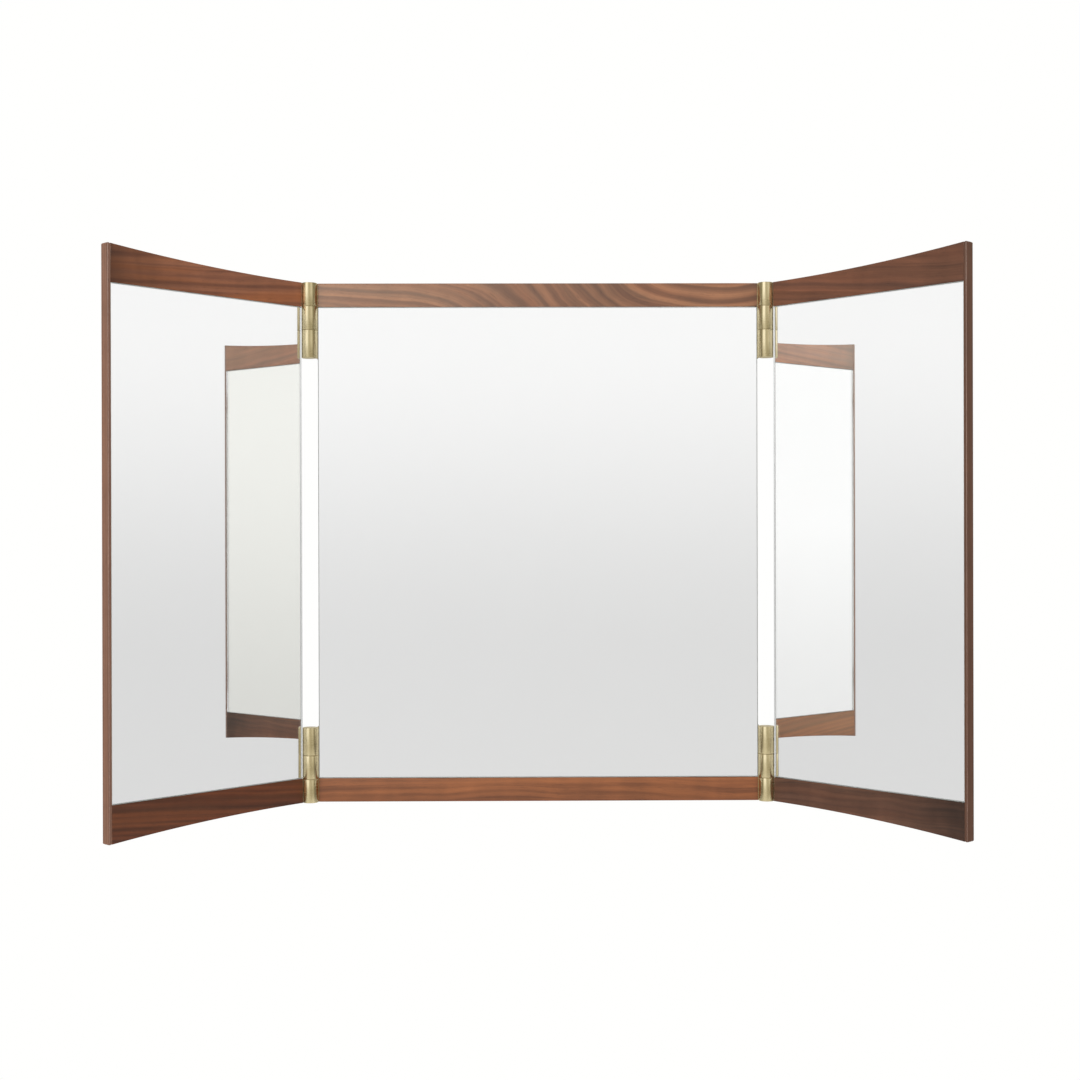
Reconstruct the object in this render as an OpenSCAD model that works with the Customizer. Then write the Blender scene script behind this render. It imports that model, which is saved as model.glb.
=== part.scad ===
// Triptych wall mirror: a fixed centre mirror with a hinged wing at each side.
// Millimetres, +Z up, the mirrors face -Y and +X is to the viewer's right.
// The origin lies on the wall, in the middle of the wall cleat's row of screw holes.

/* [Panels] */
// Width of the centre panel
centre_w = 600; // [440:10:900]
// Height of the centre panel, and of each wing at its hinges
panel_h = 707; // [560:1:1000]
// Thickness of the panels, glass and board together
panel_t = 15; // [14:0.5:20]
// Height of the centre panel's rails
centre_rail_h = 32; // [28:0.5:60]
// Rounding of the rails' outer edges
arris_r = 1; // [0.4:0.1:2]

/* [Wings] */
// Height of a wing's rails at the hinges
wing_rail_h = 33; // [28:0.5:60]
// How much further a wing's rail rises at its outer end
wing_flare = 15.4; // [4:0.2:40]
// Width of the upright slip that closes a wing's outer end
slip_w = 4.2; // [3:0.1:12]
// Gap between the two slips when both wings are folded over the centre
closing_gap = 1; // [0.6:0.1:4]
// How far the left wing stands forward from flat, in degrees
left_wing_angle = 46.35; // [0:0.05:90]
// How far the right wing stands forward from flat, in degrees
right_wing_angle = 47.15; // [0:0.05:90]

/* [Glass and boards] */
// Thickness of the mirror glass
glass_t = 4; // [3:0.5:5]
// Depth of the glass behind the face of the wood
glass_recess = 0.3; // [0:0.1:1]
// Gap between the edge of the glass and the wood
glass_gap = 0.3; // [0.1:0.1:1]
// Ground chamfer round the front and back of the glass
glass_seam = 0.35; // [0.2:0.05:0.8]
// Thickness of the tape that holds the glass
tape_t = 1; // [0.5:0.1:1.5]
// Width of a strip of tape
tape_w = 25; // [12:1:40]
// Number of strips behind the centre glass
centre_strips = 5; // [3:1:8]
// Number of strips behind a wing's glass
wing_strips = 3; // [2:1:4]
// Width of the hardwood battens beside the boards
batten_w = 22; // [20:1:40]
// Thickness of the tongues on the boards and battens
tongue_t = 4; // [3:0.5:5]
// Length of those tongues
tongue_l = 8; // [5:0.5:9]
// Room round a tongue in its groove
tongue_gap = 0.1; // [0.05:0.05:0.3]

/* [Hinges] */
// Diameter of the hinge barrels
barrel_d = 21.6; // [20:0.2:26]
// Clearance between a barrel and the edge of a panel
barrel_gap = 0.3; // [0.2:0.05:1]
// How far the hinge axis lies in front of the panels' faces
axis_front = 2; // [1:0.1:4]
// Length of the knuckle beside the rail
outer_knuckle = 32; // [26:0.5:40]
// Length of the knuckle that belongs to the wing
wing_knuckle = 32.5; // [26:0.5:40]
// Length of the knuckle nearest the middle of the panel
inner_knuckle = 37.5; // [30:0.5:50]
// Chamfer on the ends of a barrel
barrel_chamfer = 0.8; // [0.3:0.1:1.5]
// Diameter of the hinge pins
pin_d = 8; // [6:0.5:9]
// Diameter of a pin's head
pin_head_d = 13; // [12:0.5:15]
// Thickness of a pin's head
pin_head_t = 2.5; // [2:0.25:4]
// Chamfer at the tip of a pin
pin_chamfer = 0.8; // [0.4:0.1:1.5]
// Size across the flats of the key socket in a pin's head
pin_socket = 4; // [3:0.5:5]
// Depth of that socket
pin_socket_l = 4; // [2:0.5:6]
// Radial running clearance round a pin
pin_gap = 0.05; // [0.02:0.01:0.1]
// Closed end left beyond the tip of a pin
pin_floor = 6; // [4:0.5:12]
// Thickness of the washers between the knuckles
washer_t = 0.8; // [0.5:0.1:1.2]
// Lengthwise play between a washer and the wing's knuckle
washer_play = 0.1; // [0.05:0.05:0.3]
// Thickness of the hinge leaves
leaf_t = 2.5; // [2:0.1:3]
// Distance of a leaf's front edge behind the hinge axis
leaf_front = 4; // [3:0.5:6]
// Distance of a leaf's rear edge from the back of the panel
leaf_back = 0.5; // [0.2:0.1:1]
// Chamfer along the upright edges of a leaf
leaf_chamfer = 0.25; // [0.1:0.05:0.5]

/* [Screws] */
// Shank diameter of the leaf screws
leaf_screw_d = 3.2; // [2.8:0.1:3.6]
// Diameter of the leaf screws' heads
leaf_screw_head_d = 6.4; // [5.6:0.2:7]
// Length of the leaf screws
leaf_screw_l = 18; // [14:1:20]
// Shank diameter of the panel cleat's screws
cleat_screw_d = 4; // [3.5:0.1:4.5]
// Diameter of the panel cleat's screw heads
cleat_screw_head_d = 7.6; // [6.8:0.2:8.4]
// Length of the panel cleat's screws
cleat_screw_l = 11; // [9:0.5:12]
// Number of screws in the panel cleat
cleat_screws = 5; // [3:1:9]
// Distance of the end screws from the ends of the panel cleat
cleat_screw_inset = 35; // [15:1:50]
// Clearance round a screw in its hole
screw_gap = 0.05; // [0.02:0.01:0.1]

/* [Wall fixing] */
// Length of the two cleats
cleat_l = 420; // [300:10:430]
// Thickness of the cleats' metal
cleat_t = 3; // [2:0.25:4]
// Height of the flat part of a cleat
cleat_flat = 24; // [20:1:30]
// Height of a cleat's hooked lip
cleat_lip = 10; // [6:1:20]
// Play between the two cleats, front to back
cleat_play = 0.6; // [0.3:0.1:1]
// Play between the two cleats, up and down
cleat_rest = 0.2; // [0.1:0.1:0.5]
// Distance of the panel cleat's middle below the top of the panel
cleat_drop = 70; // [60:1:160]
// Diameter of the wall screw holes
wall_hole_d = 5; // [4:0.5:6]
// Diameter of the countersinks of those holes
wall_head_d = 9.6; // [8.6:0.2:10]
// Distance of the outer wall screw holes from the ends of the cleat
wall_hole_inset = 30; // [12:1:50]
// Distance between the two inner wall screw holes
inner_holes = 120; // [60:5:180]
// Diameter of the wall bumpers
bumper_d = 18; // [12:1:24]
// Distance of the bumpers from the centre panel's sides and bottom
bumper_inset = 60; // [45:1:100]
// Rounding of the bumpers' edge at the wall
bumper_round = 2; // [0.5:0.5:3]

/* [Hidden] */
$fn = 64;
arc_fn = 720; // facets of the wings' long arcs in a preview
overcut = 1; // how far a cut runs past the face that it opens
hex_fn = 6;

// The cross-shaped recess of a screw, as shares of its head's radius
recess_reach = 1 / 2;
recess_half_width = 1 / 9;
recess_depth = 1 / 3;

// Depths in a panel, from its face backwards
glass_back = glass_recess + glass_t;
board_front = glass_back + tape_t;
board_t = panel_t - board_front;
tongue_y = board_front + (board_t - tongue_t) / 2;

// Hinge axis and the room beside it
barrel_r = barrel_d / 2;
edge_x = barrel_r + barrel_gap;
axis_x = centre_w / 2 + edge_x;
wing_reach = axis_x - closing_gap / 2;
slip_x = wing_reach - slip_w;
back_y = axis_front + panel_t;

// Heights above the middle of the panels
top_z = panel_h / 2;
centre_inner_z = top_z - centre_rail_h;
wing_inner_z = top_z - wing_rail_h;
outer_seam_z = top_z - outer_knuckle;
inner_seam_z = outer_seam_z - wing_knuckle;
barrel_end_z = inner_seam_z - inner_knuckle;
half_washer = washer_t / 2;
wing_knuckle_low = inner_seam_z + half_washer + washer_play;
wing_knuckle_high = outer_seam_z - half_washer - washer_play;

// The wings' rails rise along an arc that is level at the hinges
flare_run = wing_reach - edge_x;
flare_r = (pow(flare_run, 2) + pow(wing_flare, 2)) / (2 * wing_flare);
flare_z = top_z + flare_r;
flare_top = top_z + wing_flare;

// Hinge bores, leaves and leaf screws
pin_r = pin_d / 2;
bore_r = pin_r + pin_gap;
head_bore_r = pin_head_d / 2 + pin_gap;
head_z = top_z - pin_head_t;
pin_tip_z = barrel_end_z + pin_floor + washer_play;
socket_r = pin_socket / 2 / cos(180 / hex_fn);
leaf_in = edge_x - leaf_t;
leaf_rear = back_y - leaf_back;
leaf_clear_y = sqrt(pow(edge_x, 2) - pow(leaf_in, 2));
leaf_screw_y = (leaf_clear_y + leaf_rear) / 2;
leaf_screw_zs = [
    (top_z + outer_seam_z) / 2,
    (outer_seam_z + inner_seam_z) / 2,
    (inner_seam_z + barrel_end_z) / 2
];

// Wall fixing: the two cleats hook into each other behind the panel
cleat_step = cleat_t + cleat_play;
standoff = cleat_step + cleat_t + cleat_play / 2;
flat_top = cleat_flat / 2;
lip_low = flat_top + cleat_step;
lip_top = lip_low + cleat_lip;
panel_cleat_z = lip_top + flat_top + cleat_t + cleat_play / 2 + cleat_rest;
cleat_screw_pitch = (cleat_l - 2 * cleat_screw_inset) / (cleat_screws - 1);
outer_holes = cleat_l - 2 * wall_hole_inset;
wall_hole_r = wall_hole_d / 2;
wall_head_r = wall_head_d / 2;

// Where the panels stand in the part's own frame
face_y = -standoff - panel_t;
axis_y = face_y - axis_front;
mid_z = panel_cleat_z + cleat_drop - top_z;

// Frames. A side is -1 for left and 1 for right, an end is 1 for upper and -1 for lower.

// Middle of the centre panel's face, with Y running into the panel
module on_centre() {
    translate([0, face_y, mid_z]) children();
}

// A hinge axis at the middle of its height, with the wing towards +X
module on_axis(side) {
    mirror([side < 0 ? 1 : 0, 0, 0]) translate([axis_x, axis_y, mid_z]) children();
}

// The same frame turned with the wing
module on_wing(side) {
    on_axis(side) rotate([0, 0, side < 0 ? -left_wing_angle : -right_wing_angle]) children();
}

// Turns something drawn for the upper end over to the lower end
module at_end(end) {
    mirror([0, 0, end < 0 ? 1 : 0]) children();
}

// Building shapes

// A box from its low corner to its high corner
module span(low, high) {
    translate(low) cube(high - low);
}

// A rectangle from the origin with its four corners cut off
module cut_rectangle(size, cut) {
    polygon([
        [cut, 0], [size.x - cut, 0], [size.x, cut], [size.x, size.y - cut],
        [size.x - cut, size.y], [cut, size.y], [0, size.y - cut], [0, cut]
    ]);
}

// Outline of a centre rail, depth along X and height along Y, with its two outer edges rounded
module rail_outline(depth, height) {
    square([depth, height - arris_r]);
    translate([arris_r, height - 2 * arris_r])
        square([depth - 2 * arris_r, 2 * arris_r]);
    for (x = [arris_r, depth - arris_r])
        translate([x, height - arris_r]) circle(arris_r);
}

// Outline of a wing's slip, seen from above, with its two outer edges rounded
module slip_outline() {
    square([slip_w - arris_r, panel_t]);
    translate([0, arris_r]) square([slip_w, panel_t - 2 * arris_r]);
    for (y = [arris_r, panel_t - arris_r])
        translate([slip_w - arris_r, y]) circle(arris_r);
}

// Groove along the inner edge of a rail, from low_x to high_x
module rail_groove(low_x, high_x, inner_z) {
    span(
        [low_x - overcut, tongue_y - tongue_gap, inner_z - overcut],
        [high_x + overcut, tongue_y + tongue_t + tongue_gap, inner_z + tongue_l + tongue_gap]
    );
}

// Board or batten with a tongue at its top and bottom, from low_x to high_x
module tongued_board(low_x, high_x, inner_z) {
    span([low_x, board_front, -inner_z], [high_x, panel_t, inner_z]);
    span(
        [low_x, tongue_y, -inner_z - tongue_l],
        [high_x, tongue_y + tongue_t, inner_z + tongue_l]
    );
}

// Mirror glass from low_x to high_x, with a ground chamfer round its front and back
module glass_plate(low_x, high_x, inner_z) {
    high_z = inner_z - glass_gap;
    intersection() {
        translate([low_x, glass_recess, -high_z]) rotate([90, 0, 90])
            linear_extrude(high_x - low_x) cut_rectangle([glass_t, 2 * high_z], glass_seam);
        translate([low_x, glass_recess, -high_z])
            linear_extrude(2 * high_z) cut_rectangle([high_x - low_x, glass_t], glass_seam);
    }
}

// Upright strips of tape, spread evenly from low_x to high_x
module tape_strips(count, low_x, high_x, inner_z) {
    pitch = (high_x - low_x - tape_w) / (count - 1);
    for (i = [0 : count - 1])
        span(
            [low_x + i * pitch, glass_back, -inner_z + tape_w],
            [low_x + i * pitch + tape_w, board_front, inner_z - tape_w]
        );
}

// Everything above the arc of a wing's rail, with a chamfer along both its edges
module above_flare() {
    translate([edge_x, 0, flare_z]) rotate([-90, 0, 0]) {
        translate([0, 0, -overcut])
            cylinder(r = flare_r, h = panel_t + 2 * overcut, $fn = arc_fn);
        translate([0, 0, -overcut])
            cylinder(r1 = flare_r + arris_r / 2 + overcut, r2 = flare_r,
                h = arris_r / 2 + overcut, $fn = arc_fn);
        translate([0, 0, panel_t - arris_r / 2])
            cylinder(r1 = flare_r, r2 = flare_r + arris_r / 2 + overcut,
                h = arris_r / 2 + overcut, $fn = arc_fn);
    }
}

// Pointed, countersunk screw with its head's face at the origin, driven along -Z. With some
// room round it, this is also the shape of its hole.
module screw_shape(shank_d, length, head_d, room) {
    shank_r = shank_d / 2 + room;
    tip_z = -length - room;
    rotate_extrude()
        polygon([
            [0, tip_z], [shank_r, tip_z + shank_d], [shank_r, (shank_d - head_d) / 2],
            [head_d / 2 + room, 0], [0, 0]
        ]);
}

// A screw with the cross-shaped recess in its head
module screw(shank_d, length, head_d) {
    reach = recess_reach * head_d / 2;
    half_width = recess_half_width * head_d / 2;
    depth = recess_depth * head_d / 2;
    difference() {
        screw_shape(shank_d, length, head_d, 0);
        for (turn = [0, 90])
            rotate([0, 0, turn])
                span([-reach, -half_width, -depth], [reach, half_width, overcut]);
    }
}

// Places of the leaf screws at the ends given, each pointing through its leaf into the wood
module at_leaf_screws(ends) {
    for (end = ends, z = leaf_screw_zs)
        translate([leaf_in, leaf_screw_y, end * z]) rotate([0, -90, 0]) children();
}

// Room for the leaf screws, cut from the leaves and the wood
module leaf_screw_holes(ends) {
    at_leaf_screws(ends) screw_shape(leaf_screw_d, leaf_screw_l, leaf_screw_head_d, screw_gap);
}

module leaf_screws() {
    at_leaf_screws([1, -1]) screw(leaf_screw_d, leaf_screw_l, leaf_screw_head_d);
}

// Centre panel, drawn in the frame of on_centre

// Room for the screws of the fixed leaves at both sides
module centre_leaf_holes() {
    for (side = [-1, 1])
        mirror([side > 0 ? 0 : 1, 0, 0]) translate([axis_x, -axis_front, 0])
            mirror([1, 0, 0]) leaf_screw_holes([1, -1]);
}

module centre_rail() {
    difference() {
        translate([-centre_w / 2, 0, centre_inner_z])
            rotate([90, 0, 90]) linear_extrude(centre_w) rail_outline(panel_t, centre_rail_h);
        rail_groove(-centre_w / 2, centre_w / 2, centre_inner_z);
        centre_leaf_holes();
    }
}

module centre_batten(side) {
    mirror([side < 0 ? 1 : 0, 0, 0]) difference() {
        tongued_board(centre_w / 2 - batten_w, centre_w / 2, centre_inner_z);
        centre_leaf_holes();
    }
}

// Outline of a cleat, seen along X: a flat part, a slope at 45 degrees and a hooked lip,
// all of the same thickness
module cleat_outline() {
    slope = cleat_t * (sqrt(2) - 1);
    polygon([
        [0, -flat_top], [0, flat_top], [-cleat_step, lip_low], [-cleat_step, lip_top],
        [-cleat_step - cleat_t, lip_top], [-cleat_step - cleat_t, lip_low - slope],
        [-cleat_t, flat_top - slope], [-cleat_t, -flat_top]
    ]);
}

module cleat() {
    translate([-cleat_l / 2, 0, 0]) rotate([90, 0, 90]) linear_extrude(cleat_l)
        cleat_outline();
}

// Hook of the panel cleat: the same bar turned over, its flat against the board
module turned_cleat() {
    translate([0, -standoff, panel_cleat_z]) rotate([180, 0, 0]) cleat();
}

module at_cleat_screws() {
    for (i = [0 : cleat_screws - 1])
        translate([
            (i - (cleat_screws - 1) / 2) * cleat_screw_pitch,
            cleat_t - standoff,
            panel_cleat_z
        ]) rotate([-90, 0, 0]) children();
}

module cleat_screw_holes() {
    at_cleat_screws()
        screw_shape(cleat_screw_d, cleat_screw_l, cleat_screw_head_d, screw_gap);
}

// Hinges, drawn for the upper end in the frame of on_axis

// One knuckle of a barrel, with the ends that show chamfered
module knuckle(low_z, high_z) {
    c = barrel_chamfer;
    low_c = low_z == barrel_end_z ? c : c / 4;
    high_c = high_z == top_z ? c : c / 4;
    rotate_extrude()
        polygon([
            [0, low_z], [barrel_r - low_c, low_z], [barrel_r, low_z + low_c],
            [barrel_r, high_z - high_c], [barrel_r - high_c, high_z], [0, high_z]
        ]);
}

// Flat leaf beside the wing, over the whole height of the barrel
module leaf_plate() {
    translate([leaf_in, leaf_front, barrel_end_z]) linear_extrude(top_z - barrel_end_z)
        cut_rectangle([leaf_t, leaf_rear - leaf_front], leaf_chamfer);
}

// Room round the barrel for the knuckles of the other leaf
module knuckle_room(low_z, high_z) {
    translate([0, 0, low_z]) cylinder(r = edge_x, h = high_z - low_z);
}

module pin_bore() {
    translate([0, 0, pin_tip_z - washer_play]) cylinder(r = bore_r, h = panel_h);
    translate([0, 0, head_z - pin_gap]) cylinder(r = head_bore_r, h = panel_h);
}

module fixed_leaf() {
    difference() {
        union() {
            knuckle(outer_seam_z + half_washer, top_z);
            knuckle(barrel_end_z, inner_seam_z - half_washer);
            mirror([1, 0, 0]) leaf_plate();
        }
        knuckle_room(inner_seam_z - half_washer, outer_seam_z + half_washer);
        pin_bore();
        mirror([1, 0, 0]) leaf_screw_holes([1]);
    }
}

module wing_leaf() {
    difference() {
        union() {
            knuckle(wing_knuckle_low, wing_knuckle_high);
            leaf_plate();
        }
        knuckle_room(barrel_end_z - overcut, wing_knuckle_low);
        knuckle_room(wing_knuckle_high, top_z + overcut);
        pin_bore();
        leaf_screw_holes([1]);
    }
}

// Headed pin with a chamfered tip and a key socket
module pin() {
    tip_r = pin_r - pin_chamfer;
    head_r = pin_head_d / 2;
    head_c = pin_chamfer / 2;
    difference() {
        rotate_extrude()
            polygon([
                [0, pin_tip_z], [tip_r, pin_tip_z], [pin_r, pin_tip_z + pin_chamfer],
                [pin_r, head_z], [head_r, head_z], [head_r, top_z - head_c],
                [head_r - head_c, top_z], [0, top_z]
            ]);
        translate([0, 0, top_z - pin_socket_l])
            cylinder(r = socket_r, h = pin_socket_l + overcut, $fn = hex_fn);
    }
}

module washers() {
    for (z = [outer_seam_z, inner_seam_z])
        translate([0, 0, z - half_washer]) difference() {
            cylinder(r = barrel_r - barrel_chamfer / 4, h = washer_t);
            translate([0, 0, -overcut]) cylinder(r = bore_r, h = washer_t + 2 * overcut);
        }
}

// Wings, drawn in the frame of on_wing

module in_wing() {
    translate([0, axis_front, 0]) children();
}

module wing_rail() {
    difference() {
        in_wing() difference() {
            span([edge_x, 0, wing_inner_z], [slip_x, panel_t, flare_top]);
            above_flare();
            rail_groove(edge_x, slip_x, wing_inner_z);
        }
        leaf_screw_holes([1, -1]);
    }
}

module wing_slip() {
    in_wing() difference() {
        translate([slip_x, 0, -flare_top]) linear_extrude(2 * flare_top) slip_outline();
        above_flare();
        mirror([0, 0, 1]) above_flare();
    }
}

module wing_batten() {
    difference() {
        in_wing() tongued_board(edge_x, edge_x + batten_w, wing_inner_z);
        leaf_screw_holes([1, -1]);
    }
}

module wing_glass() {
    in_wing() glass_plate(edge_x, slip_x - glass_gap, wing_inner_z);
}

module wing_tape() {
    in_wing() tape_strips(wing_strips, edge_x + tape_w, slip_x - tape_w / 2, wing_inner_z);
}

module wing_board() {
    in_wing() tongued_board(edge_x + batten_w, slip_x, wing_inner_z);
}

// Colours
module walnut() { color([0.46, 0.28, 0.19]) children(); }
module mirror_glass() { color([0.84, 0.87, 0.88]) children(); }
module brass() { color([0.72, 0.62, 0.40]) children(); }
module black_board() { color([0.09, 0.09, 0.09]) children(); }
module white_foam() { color([0.88, 0.88, 0.86]) children(); }
module aluminium() { color([0.74, 0.75, 0.76]) children(); }
module steel() { color([0.60, 0.60, 0.62]) children(); }
module bronze() { color([0.55, 0.45, 0.30]) children(); }
module clear_rubber() { color([0.70, 0.70, 0.68]) children(); }

// The centre panel's pieces

module centre_glass() {
    mirror_glass() on_centre() glass_plate(-centre_w / 2, centre_w / 2, centre_inner_z);
}

module centre_glass_tape() {
    white_foam() on_centre()
        tape_strips(centre_strips, tape_w - centre_w / 2, centre_w / 2 - tape_w, centre_inner_z);
}

module centre_top_rail() { walnut() on_centre() centre_rail(); }
module centre_bottom_rail() { walnut() on_centre() at_end(-1) centre_rail(); }
module centre_left_batten() { walnut() on_centre() centre_batten(-1); }
module centre_right_batten() { walnut() on_centre() centre_batten(1); }

module centre_board() {
    black_board() difference() {
        on_centre()
            tongued_board(batten_w - centre_w / 2, centre_w / 2 - batten_w, centre_inner_z);
        cleat_screw_holes();
    }
}

module panel_cleat() {
    aluminium() difference() {
        turned_cleat();
        cleat_screw_holes();
    }
}

module panel_cleat_screws() {
    steel() at_cleat_screws() screw(cleat_screw_d, cleat_screw_l, cleat_screw_head_d);
}

module wall_cleat() {
    aluminium() difference() {
        cleat();
        for (spread = [outer_holes, inner_holes], side = [-1, 1])
            translate([side * spread / 2, 0, 0]) rotate([90, 0, 0]) {
                translate([0, 0, -overcut]) cylinder(r = wall_hole_r, h = cleat_t + 2 * overcut);
                translate([0, 0, cleat_t + wall_hole_r - wall_head_r])
                    cylinder(r1 = wall_hole_r, r2 = wall_head_r + overcut,
                        h = wall_head_r - wall_hole_r + overcut);
            }
    }
}

module wall_bumpers() {
    clear_rubber() for (side = [-1, 1])
        translate([
            side * (centre_w / 2 - bumper_inset), -standoff, mid_z - top_z + bumper_inset
        ]) rotate([-90, 0, 0]) rotate_extrude() {
            square([bumper_d / 2, standoff - bumper_round]);
            square([bumper_d / 2 - bumper_round, standoff]);
            translate([bumper_d / 2 - bumper_round, standoff - bumper_round])
                circle(bumper_round);
        }
}

// The hinges' fixed pieces

module left_upper_fixed_leaf() { brass() on_axis(-1) fixed_leaf(); }
module left_lower_fixed_leaf() { brass() on_axis(-1) at_end(-1) fixed_leaf(); }
module right_upper_fixed_leaf() { brass() on_axis(1) fixed_leaf(); }
module right_lower_fixed_leaf() { brass() on_axis(1) at_end(-1) fixed_leaf(); }
module left_upper_pin() { brass() on_axis(-1) pin(); }
module left_lower_pin() { brass() on_axis(-1) at_end(-1) pin(); }
module right_upper_pin() { brass() on_axis(1) pin(); }
module right_lower_pin() { brass() on_axis(1) at_end(-1) pin(); }
module left_upper_washers() { bronze() on_axis(-1) washers(); }
module left_lower_washers() { bronze() on_axis(-1) at_end(-1) washers(); }
module right_upper_washers() { bronze() on_axis(1) washers(); }
module right_lower_washers() { bronze() on_axis(1) at_end(-1) washers(); }

module fixed_leaf_screws() {
    brass() for (side = [-1, 1])
        on_axis(side) mirror([1, 0, 0]) leaf_screws();
}

// The wings' pieces

module left_wing_glass() { mirror_glass() on_wing(-1) wing_glass(); }
module left_wing_glass_tape() { white_foam() on_wing(-1) wing_tape(); }
module left_wing_top_rail() { walnut() on_wing(-1) wing_rail(); }
module left_wing_bottom_rail() { walnut() on_wing(-1) at_end(-1) wing_rail(); }
module left_wing_slip() { walnut() on_wing(-1) wing_slip(); }
module left_wing_board() { black_board() on_wing(-1) wing_board(); }
module left_wing_batten() { walnut() on_wing(-1) wing_batten(); }
module left_wing_upper_leaf() { brass() on_wing(-1) wing_leaf(); }
module left_wing_lower_leaf() { brass() on_wing(-1) at_end(-1) wing_leaf(); }
module left_wing_leaf_screws() { brass() on_wing(-1) leaf_screws(); }
module right_wing_glass() { mirror_glass() on_wing(1) wing_glass(); }
module right_wing_glass_tape() { white_foam() on_wing(1) wing_tape(); }
module right_wing_top_rail() { walnut() on_wing(1) wing_rail(); }
module right_wing_bottom_rail() { walnut() on_wing(1) at_end(-1) wing_rail(); }
module right_wing_slip() { walnut() on_wing(1) wing_slip(); }
module right_wing_board() { black_board() on_wing(1) wing_board(); }
module right_wing_batten() { walnut() on_wing(1) wing_batten(); }
module right_wing_upper_leaf() { brass() on_wing(1) wing_leaf(); }
module right_wing_lower_leaf() { brass() on_wing(1) at_end(-1) wing_leaf(); }
module right_wing_leaf_screws() { brass() on_wing(1) leaf_screws(); }

centre_glass();
centre_glass_tape();
centre_top_rail();
centre_bottom_rail();
centre_board();
centre_left_batten();
centre_right_batten();
panel_cleat();
panel_cleat_screws();
wall_cleat();
wall_bumpers();
left_upper_fixed_leaf();
left_lower_fixed_leaf();
right_upper_fixed_leaf();
right_lower_fixed_leaf();
fixed_leaf_screws();
left_upper_pin();
left_lower_pin();
right_upper_pin();
right_lower_pin();
left_upper_washers();
left_lower_washers();
right_upper_washers();
right_lower_washers();
left_wing_glass();
left_wing_glass_tape();
left_wing_top_rail();
left_wing_bottom_rail();
left_wing_slip();
left_wing_board();
left_wing_batten();
left_wing_upper_leaf();
left_wing_lower_leaf();
left_wing_leaf_screws();
right_wing_glass();
right_wing_glass_tape();
right_wing_top_rail();
right_wing_bottom_rail();
right_wing_slip();
right_wing_board();
right_wing_batten();
right_wing_upper_leaf();
right_wing_lower_leaf();
right_wing_leaf_screws();
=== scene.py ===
import math

import bmesh
import bpy
from mathutils import Matrix, Vector


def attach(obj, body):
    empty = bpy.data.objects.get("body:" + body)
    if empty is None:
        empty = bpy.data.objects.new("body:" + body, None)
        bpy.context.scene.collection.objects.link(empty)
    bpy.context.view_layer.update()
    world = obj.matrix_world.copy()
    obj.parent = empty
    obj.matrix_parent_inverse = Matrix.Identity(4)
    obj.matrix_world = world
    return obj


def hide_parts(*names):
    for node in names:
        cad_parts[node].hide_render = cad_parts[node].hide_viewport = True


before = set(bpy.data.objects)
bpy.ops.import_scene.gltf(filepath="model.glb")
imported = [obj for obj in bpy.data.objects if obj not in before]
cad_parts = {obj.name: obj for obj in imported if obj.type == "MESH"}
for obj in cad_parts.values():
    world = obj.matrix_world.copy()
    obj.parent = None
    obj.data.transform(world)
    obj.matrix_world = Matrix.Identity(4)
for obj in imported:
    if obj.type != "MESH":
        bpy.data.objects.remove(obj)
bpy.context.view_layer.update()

print("frame loaded:", len(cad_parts), "nodes")

# Pieces are drawn in millimetres, for the right side and the upper end, and flipped for the others
mm = 0.001
up = 1
down = -1
left = -1
right = 1
sideNames = {left: "left", right: "right"}
endNames = {up: "upper", down: "lower"}
railNames = {up: "top_rail", down: "bottom_rail"}

# Where the panels stand, in millimetres, as in the part's source
panel = {
    "width": 600,
    "height": 707,
    "thickness": 15,
    "faceY": -21.9,  # front of the centre panel
    "middleZ": -242.4,
    "railHeight": 32,
}
wing = {
    "angle": {left: 46.35, right: 47.15},  # degrees forward of flat
    "axisFront": 2,  # how far the hinge axis stands before the panels' faces
    "edgeX": 11.1,  # from the hinge axis to a panel's edge
    "slipX": 306.4,
    "reach": 310.6,
    "railHeight": 33,
    "flare": 15.4,  # how far the rails have risen at their outer ends
}
halfHeight = panel["height"] / 2
axisX = panel["width"] / 2 + wing["edgeX"]
axisY = panel["faceY"] - wing["axisFront"]
flareRun = wing["reach"] - wing["edgeX"]
flareRadius = (flareRun ** 2 + wing["flare"] ** 2) / (2 * wing["flare"])

centrePlace = Matrix.Translation(Vector((0, panel["faceY"], panel["middleZ"])) * mm)


def axisPlace(side):
    return Matrix.Translation(Vector((side * axisX, axisY, panel["middleZ"])) * mm)


def wingPlace(side):
    return axisPlace(side) @ Matrix.Rotation(math.radians(-side * wing["angle"][side]), 4, "Z")


def flareHeight(x):
    run = x - wing["edgeX"]
    return halfHeight + flareRadius - math.sqrt(flareRadius ** 2 - run ** 2)


# Camera: the photograph's place and lens
photoView = {
    "place": (-0.0157, -2.2052, -0.2359),
    "yaw": 0.0083,
    "pitch": 0.0016,
    "roll": -0.0024,
    "lens": 53.3,
    "sensor": 36,
    "clip": (0.05, 60),
}


def makeCamera(look):
    yaw = Matrix.Rotation(look["yaw"], 3, "Z")
    pitch = Matrix.Rotation(look["pitch"], 3, "X")
    roll = Matrix.Rotation(look["roll"], 3, "Y")
    rows = roll @ pitch @ yaw
    turned = Matrix((rows[0], rows[2], -rows[1])).transposed()
    data = bpy.data.cameras.new("photoCamera")
    data.lens = look["lens"]
    data.sensor_width = look["sensor"]
    data.clip_start, data.clip_end = look["clip"]
    camera = bpy.data.objects.new("photoCamera", data)
    camera.matrix_world = Matrix.Translation(look["place"]) @ turned.to_4x4()
    bpy.context.scene.collection.objects.link(camera)
    bpy.context.scene.camera = camera


makeCamera(photoView)
bpy.context.scene.view_settings.view_transform = "Standard"
print("camera set")


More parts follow.
